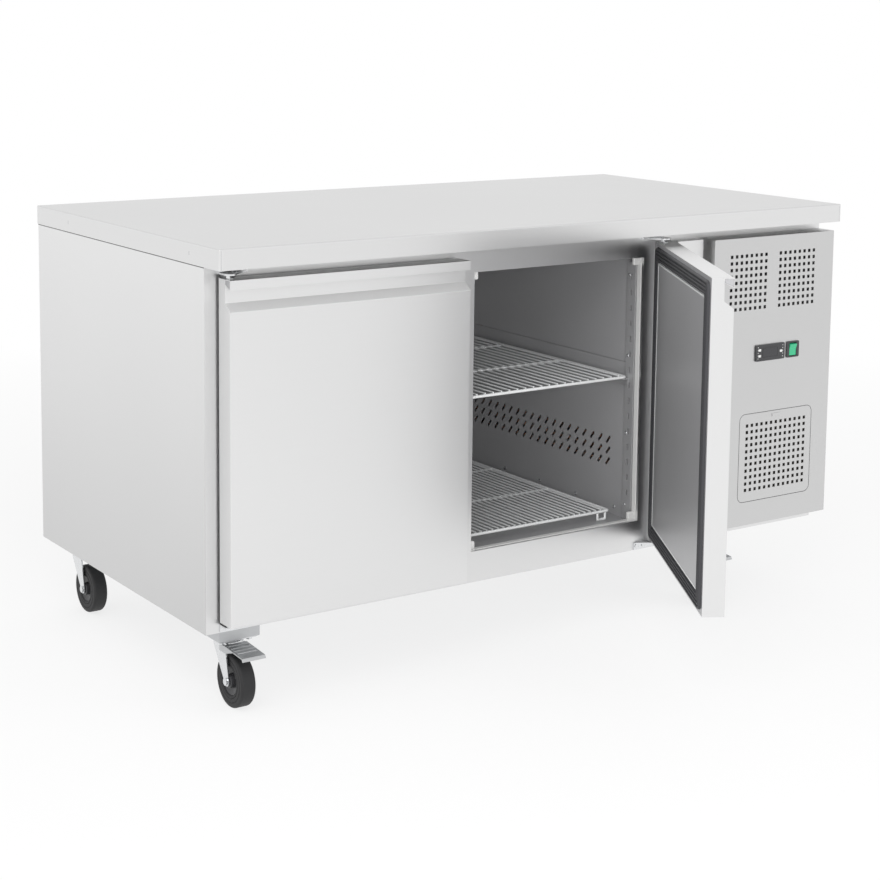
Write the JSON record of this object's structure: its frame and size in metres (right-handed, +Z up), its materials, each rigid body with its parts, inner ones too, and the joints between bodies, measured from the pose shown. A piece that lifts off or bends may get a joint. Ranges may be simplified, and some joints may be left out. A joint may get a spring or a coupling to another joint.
{
  "type": "undercounter refrigerator",
  "caption": "Counter refrigerator on castors with hinged doors, wire shelves and a machine bay with air grilles beside them.",
  "frame": {"origin": "middle of the whole object's footprint on the floor, with the right door open as drawn", "axes": "+X to the right seen from the front, +Y from the front to the back, +Z up"},
  "size_m": [1.51, 1.2058, 0.86],
  "materials": {
    "brushed_steel": "brushed stainless steel sheet",
    "inner_steel": "dull stainless steel lining",
    "galvanised": "galvanised sheet",
    "zinc": "bright zinc plate",
    "shelf_wire": "light plastic-coated wire",
    "foam": "rigid polyurethane foam",
    "gasket": "matt black magnetic seal",
    "black_plastic": "fine-grained black plastic",
    "grey_plastic": "grey plastic",
    "tyre": "solid black rubber",
    "rocker_green": "translucent green plastic",
    "button": "pale key caps",
    "filter_pad": "metal mesh filter pad",
    "coil": "aluminium fins on copper tubes",
    "black_paint": "black enamel",
    "copper": "copper tube"
  },
  "bodies": {
    "cabinet": {"worktop": "brushed_steel", "side_panel_left": "brushed_steel", "side_panel_right": "brushed_steel", "back_panel": "galvanised", "base_panel": "galvanised", "base_rails": "galvanised", "partition_panel": "galvanised", "front_frame": "brushed_steel", "mullion_cover": "inner_steel", "insulation": "foam", "inner_liner": "inner_steel", "evaporator_cover": "inner_steel", "evaporator_coil": "coil", "evaporator_motor": "black_plastic", "pilasters": "inner_steel", "shelf_supports": "galvanised", "shelf_upper_left": "shelf_wire", "shelf_upper_right": "shelf_wire", "shelf_lower_left": "shelf_wire", "shelf_lower_right": "shelf_wire", "post_cover": "brushed_steel", "machine_panel": "brushed_steel", "filter_mesh": "filter_pad", "controller_body": "black_plastic", "switch_housing": "black_plastic", "compressor": "black_paint", "condenser_coil": "coil", "condenser_shroud": "black_plastic", "copper_pipes": "copper", "hinge_brackets": "zinc", "castor_plates": "zinc", "fasteners": "zinc", "power_inlet": "black_plastic"},
    "filter_cover": {"filter_cover": "brushed_steel"},
    "rocker": {"switch_rocker": "rocker_green"},
    "set_button": {"button_set": "button"},
    "up_button": {"button_up": "button"},
    "down_button": {"button_down": "button"},
    "cold_fan": {"evaporator_fan": "black_plastic"},
    "warm_fan": {"condenser_fan": "black_plastic"},
    "left_door": {"left_door_skin": "brushed_steel", "left_door_foam": "foam", "left_door_liner": "brushed_steel", "left_door_gasket": "gasket", "left_handle_caps": "grey_plastic"},
    "right_door": {"right_door_skin": "brushed_steel", "right_door_foam": "foam", "right_door_liner": "brushed_steel", "right_door_gasket": "gasket", "right_handle_caps": "grey_plastic"},
    "fork_front_left_body": {"fork_front_left": "zinc"},
    "wheel_front_left_body": {"wheel_front_left": "tyre"},
    "fork_front_right_body": {"fork_front_right": "zinc"},
    "wheel_front_right_body": {"wheel_front_right": "tyre"},
    "fork_rear_left_body": {"fork_rear_left": "zinc"},
    "wheel_rear_left_body": {"wheel_rear_left": "tyre"},
    "fork_rear_right_body": {"fork_rear_right": "zinc"},
    "wheel_rear_right_body": {"wheel_rear_right": "tyre"},
    "pedal_left_body": {"pedal_left": "zinc"},
    "pedal_right_body": {"pedal_right": "zinc"}
  },
  "joints": [
    {"name": "left_door_hinge", "type": "hinge", "parent": "cabinet", "child": "left_door", "pos_m": [-0.713, -0.15811, 0.4745], "axis": [0, 0, -1], "range_deg": [0, 100]},
    {"name": "right_door_hinge", "type": "hinge", "parent": "cabinet", "child": "right_door", "pos_m": [0.289, -0.15811, 0.4745], "axis": [0, 0, 1], "range_deg": [-60, 40]},
    {"name": "swivel_front_left", "type": "hinge", "parent": "cabinet", "child": "fork_front_left_body", "pos_m": [-0.674, -0.07511, 0.118], "axis": [0, 0, 1], "continuous": true},
    {"name": "roll_front_left", "type": "hinge", "parent": "fork_front_left_body", "child": "wheel_front_left_body", "pos_m": [-0.674, -0.10511, 0.05], "axis": [1, 0, 0], "continuous": true},
    {"name": "swivel_front_right", "type": "hinge", "parent": "cabinet", "child": "fork_front_right_body", "pos_m": [0.466, -0.07511, 0.118], "axis": [0, 0, 1], "continuous": true},
    {"name": "roll_front_right", "type": "hinge", "parent": "fork_front_right_body", "child": "wheel_front_right_body", "pos_m": [0.466, -0.10511, 0.05], "axis": [1, 0, 0], "continuous": true},
    {"name": "swivel_rear_left", "type": "hinge", "parent": "cabinet", "child": "fork_rear_left_body", "pos_m": [-0.674, 0.56489, 0.118], "axis": [0, 0, 1], "continuous": true},
    {"name": "roll_rear_left", "type": "hinge", "parent": "fork_rear_left_body", "child": "wheel_rear_left_body", "pos_m": [-0.674, 0.53489, 0.05], "axis": [1, 0, 0], "continuous": true},
    {"name": "swivel_rear_right", "type": "hinge", "parent": "cabinet", "child": "fork_rear_right_body", "pos_m": [0.466, 0.56489, 0.118], "axis": [0, 0, 1], "continuous": true},
    {"name": "roll_rear_right", "type": "hinge", "parent": "fork_rear_right_body", "child": "wheel_rear_right_body", "pos_m": [0.466, 0.53489, 0.05], "axis": [1, 0, 0], "continuous": true},
    {"name": "brake_left", "type": "hinge", "parent": "fork_front_left_body", "child": "pedal_left_body", "pos_m": [-0.674, -0.09111, 0.11], "axis": [1, 0, 0], "range_deg": [0, 7]},
    {"name": "brake_right", "type": "hinge", "parent": "fork_front_right_body", "child": "pedal_right_body", "pos_m": [0.466, -0.09111, 0.11], "axis": [1, 0, 0], "range_deg": [0, 7]},
    {"name": "power_rocker", "type": "hinge", "parent": "cabinet", "child": "rocker", "pos_m": [0.635, -0.18061, 0.5525], "axis": [1, 0, 0], "range_deg": [-18, 0]},
    {"name": "press_set", "type": "slide", "parent": "cabinet", "child": "set_button", "axis": [0, 1, 0], "range_m": [0, 0.0008], "stiffness_N_per_m": 300},
    {"name": "press_up", "type": "slide", "parent": "cabinet", "child": "up_button", "axis": [0, 1, 0], "range_m": [0, 0.0008], "stiffness_N_per_m": 300},
    {"name": "press_down", "type": "slide", "parent": "cabinet", "child": "down_button", "axis": [0, 1, 0], "range_m": [0, 0.0008], "stiffness_N_per_m": 300},
    {"name": "filter_cover_pull", "type": "slide", "parent": "cabinet", "child": "filter_cover", "axis": [0, -1, 0], "range_m": [0, 0.06]},
    {"name": "cold_fan_spin", "type": "hinge", "parent": "cabinet", "child": "cold_fan", "pos_m": [0.285, 0.35089, 0.672], "axis": [1, 0, 0], "continuous": true},
    {"name": "warm_fan_spin", "type": "hinge", "parent": "cabinet", "child": "warm_fan", "pos_m": [0.594, -0.05511, 0.2966], "axis": [0, 1, 0], "continuous": true}
  ]
}
